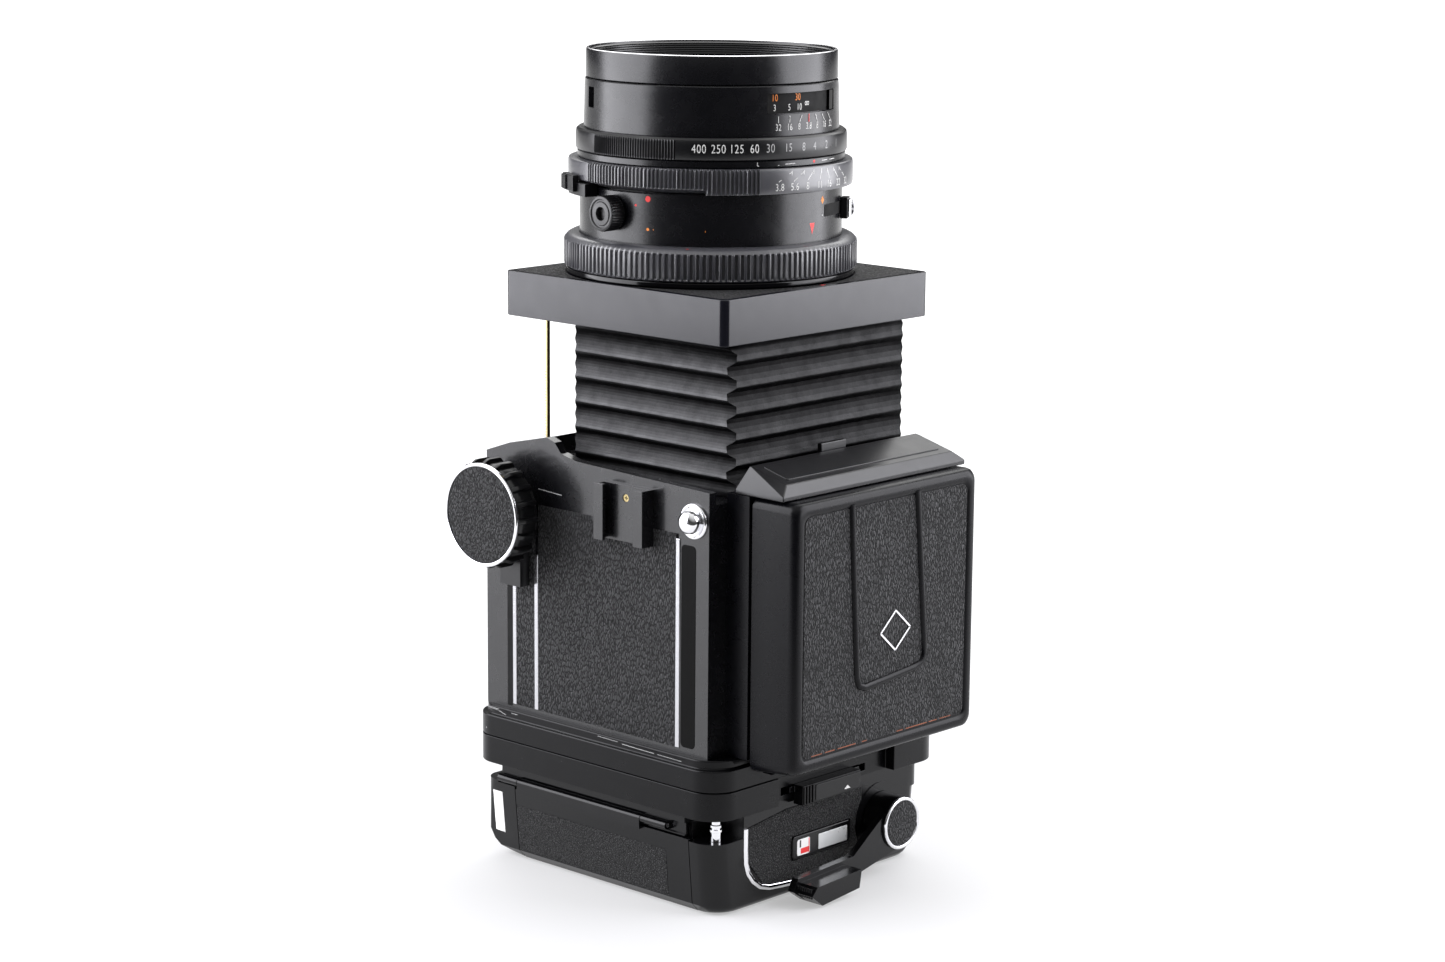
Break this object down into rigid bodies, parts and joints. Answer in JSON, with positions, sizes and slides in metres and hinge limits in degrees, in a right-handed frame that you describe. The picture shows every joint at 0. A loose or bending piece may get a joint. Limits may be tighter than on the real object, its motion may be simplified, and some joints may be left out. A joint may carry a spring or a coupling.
{
  "type": "medium-format reflex camera",
  "caption": "Square-bodied reflex camera on end: bellows-focused lens on racks, folding waist-level finder, side focusing knobs and a revolving roll-film back.",
  "frame": {"origin": "on the lens axis, in the plane of the film back's door that the camera stands on", "axes": "+Z along the lens axis towards the subject, +X towards the viewfinder, -Y the camera's left side with the accessory shoe"},
  "size_m": [0.1329, 0.1342, 0.268],
  "materials": {
    "black_paint": "gloss black enamel",
    "black_satin": "satin black",
    "leather": "grained leatherette",
    "chrome": "polished",
    "steel": "fine turned",
    "brass": "worn, blackened",
    "cloth": "coated folded cloth",
    "black_plastic": "moulded",
    "screen_glass": "ground",
    "lens_glass": "coated",
    "mirror": "front silvered",
    "blade": "blackened",
    "inner": "matt black anodised"
  },
  "bodies": {
    "body": {"body_shell": "black_paint", "body_leather": "leather", "chrome_strips": "chrome", "accessory_shoe": "black_paint", "body_screws": "steel", "strap_lugs": "chrome", "tripod_socket": "steel", "mirror_box": "inner", "focusing_screen": "screen_glass", "adapter_ring": "black_paint", "finder_frame": "black_paint", "finder_front": "black_paint"},
    "mirror": {"mirror_carrier": "inner", "reflex_mirror": "mirror"},
    "focus_drive": {"focus_shaft": "steel", "focus_knobs": "black_satin", "knob_rings": "chrome"},
    "focus_lock": {"focus_lock_lever": "black_satin"},
    "cocking": {"cocking_lever": "black_satin"},
    "release": {"release_button": "chrome"},
    "front_standard": {"front_plate": "black_paint", "front_leather": "leather", "focus_racks": "brass", "lens_mount": "steel", "bellows": "cloth", "lens_barrel": "black_satin", "front_barrel": "black_satin", "lens_glass": "lens_glass", "lens_cells": "inner", "shutter_leaves": "blade", "aperture_blades": "blade", "sync_terminal": "steel"},
    "breech": {"breech_ring": "black_satin"},
    "aperture": {"aperture_ring": "black_satin"},
    "shutter": {"shutter_ring": "black_satin"},
    "scale": {"front_ring": "black_satin", "distance_scale": "black_satin"},
    "dof": {"dof_lever": "black_satin"},
    "mirror_up": {"mirror_up_knob": "black_satin"},
    "sync": {"sync_lever": "steel"},
    "lid": {"finder_lid": "black_paint", "lid_leather": "leather", "magnifier_arm": "black_plastic", "magnifier_lens": "lens_glass"},
    "hood_left": {"left_flap": "black_satin"},
    "hood_right": {"right_flap": "black_satin"},
    "film_back": {"revolving_plate": "black_paint", "holder_shell": "black_paint", "holder_trim": "chrome", "holder_leather": "leather", "door_hinge_pin": "steel", "film_insert": "inner", "pressure_plate": "inner"},
    "door": {"back_door": "black_paint", "door_leather": "leather"},
    "advance": {"advance_lever": "black_satin"},
    "take_up": {"take_up_spool": "black_plastic"},
    "supply": {"supply_spool": "black_plastic"},
    "lock": {"lock_slider": "black_satin"},
    "slide": {"dark_slide": "steel"}
  },
  "joints": [
    {"name": "focus_slide", "type": "slide", "parent": "body", "child": "front_standard", "axis": [0, 0, 1], "range_m": [-0.042, 0.004], "deforming": ["bellows"]},
    {"name": "focus_turn", "type": "hinge", "parent": "body", "child": "focus_drive", "pos_m": [-0.0375, 0, 0.1196], "axis": [0, 1, 0], "range_deg": [-39, 402]},
    {"name": "focus_lock_turn", "type": "hinge", "parent": "body", "child": "focus_lock", "pos_m": [-0.0375, -0.054, 0.1196], "axis": [0, 1, 0], "range_deg": [0, 30]},
    {"name": "cocking_turn", "type": "hinge", "parent": "body", "child": "cocking", "pos_m": [0.004, 0.054, 0.108], "axis": [0, 1, 0], "range_deg": [0, 60]},
    {"name": "release_press", "type": "slide", "parent": "body", "child": "release", "axis": [0, 0, -1], "range_m": [0, 0.0028], "stiffness_N_per_m": 300, "springref_m": -0.002},
    {"name": "mirror_swing", "type": "hinge", "parent": "body", "child": "mirror", "pos_m": [0.041, 0, 0.0585], "axis": [0, 1, 0], "range_deg": [0, 45]},
    {"name": "breech_turn", "type": "hinge", "parent": "front_standard", "child": "breech", "pos_m": [0, 0, 0.203], "axis": [0, 0, 1], "range_deg": [-60, 0]},
    {"name": "aperture_turn", "type": "hinge", "parent": "front_standard", "child": "aperture", "pos_m": [0, 0, 0.229], "axis": [0, 0, 1], "range_deg": [-20, 20]},
    {"name": "shutter_turn", "type": "hinge", "parent": "front_standard", "child": "shutter", "pos_m": [0, 0, 0.239], "axis": [0, 0, 1], "range_deg": [-18, 53]},
    {"name": "scale_turn", "type": "hinge", "parent": "front_standard", "child": "scale", "pos_m": [0, 0, 0.26], "axis": [0, 0, 1], "range_deg": [-60, 60]},
    {"name": "dof_turn", "type": "hinge", "parent": "front_standard", "child": "dof", "pos_m": [0, 0, 0.225], "axis": [0, 0, 1], "range_deg": [-8, 5]},
    {"name": "mirror_up_turn", "type": "hinge", "parent": "front_standard", "child": "mirror_up", "pos_m": [0, 0, 0.2182], "axis": [-0.0436, -0.999, 0], "range_deg": [0, 90]},
    {"name": "sync_turn", "type": "hinge", "parent": "front_standard", "child": "sync", "pos_m": [0, 0, 0.217], "axis": [0, 0, 1], "range_deg": [-15, 0]},
    {"name": "lid_open", "type": "hinge", "parent": "body", "child": "lid", "pos_m": [0.0597, 0, 0.0472], "axis": [0, 1, 0], "range_deg": [0, 95]},
    {"name": "hood_left_open", "type": "hinge", "parent": "body", "child": "hood_left", "pos_m": [0.0604, -0.0398, 0.09], "axis": [0, 0, 1], "range_deg": [-86, 0]},
    {"name": "hood_right_open", "type": "hinge", "parent": "body", "child": "hood_right", "pos_m": [0.0604, 0.0398, 0.09], "axis": [0, 0, 1], "range_deg": [0, 86]},
    {"name": "back_turn", "type": "hinge", "parent": "body", "child": "film_back", "pos_m": [0, 0, 0.04], "axis": [0, 0, 1], "range_deg": [0, 90]},
    {"name": "door_open", "type": "hinge", "parent": "film_back", "child": "door", "pos_m": [0, -0.0509, 0.0272], "axis": [1, 0, 0], "range_deg": [-90, 0]},
    {"name": "advance_turn", "type": "hinge", "parent": "film_back", "child": "advance", "pos_m": [0.05, 0.029, 0.0168], "axis": [1, 0, 0], "range_deg": [0, 110]},
    {"name": "take_up_turn", "type": "hinge", "parent": "film_back", "child": "take_up", "pos_m": [0, 0.0324, 0.0158], "axis": [1, 0, 0], "range_deg": [0, 221]},
    {"name": "supply_turn", "type": "hinge", "parent": "film_back", "child": "supply", "pos_m": [0, -0.0324, 0.0158], "axis": [1, 0, 0], "range_deg": [0, 166]},
    {"name": "lock_slide", "type": "slide", "parent": "film_back", "child": "lock", "axis": [0, 1, 0], "range_m": [-0.003, 0.003]},
    {"name": "dark_slide_pull", "type": "slide", "parent": "film_back", "child": "slide", "axis": [0, 1, 0], "range_m": [0, 0.09]}
  ],
  "couplings": [
    {"joint": "focus_turn", "follows": "focus_slide", "rad_per_m": -166.67},
    {"joint": "hood_left_open", "follows": "lid_open", "ratio": -0.9},
    {"joint": "hood_right_open", "follows": "lid_open", "ratio": 0.9},
    {"joint": "take_up_turn", "follows": "advance_turn", "ratio": 2},
    {"joint": "supply_turn", "follows": "advance_turn", "ratio": 1.5}
  ]
}
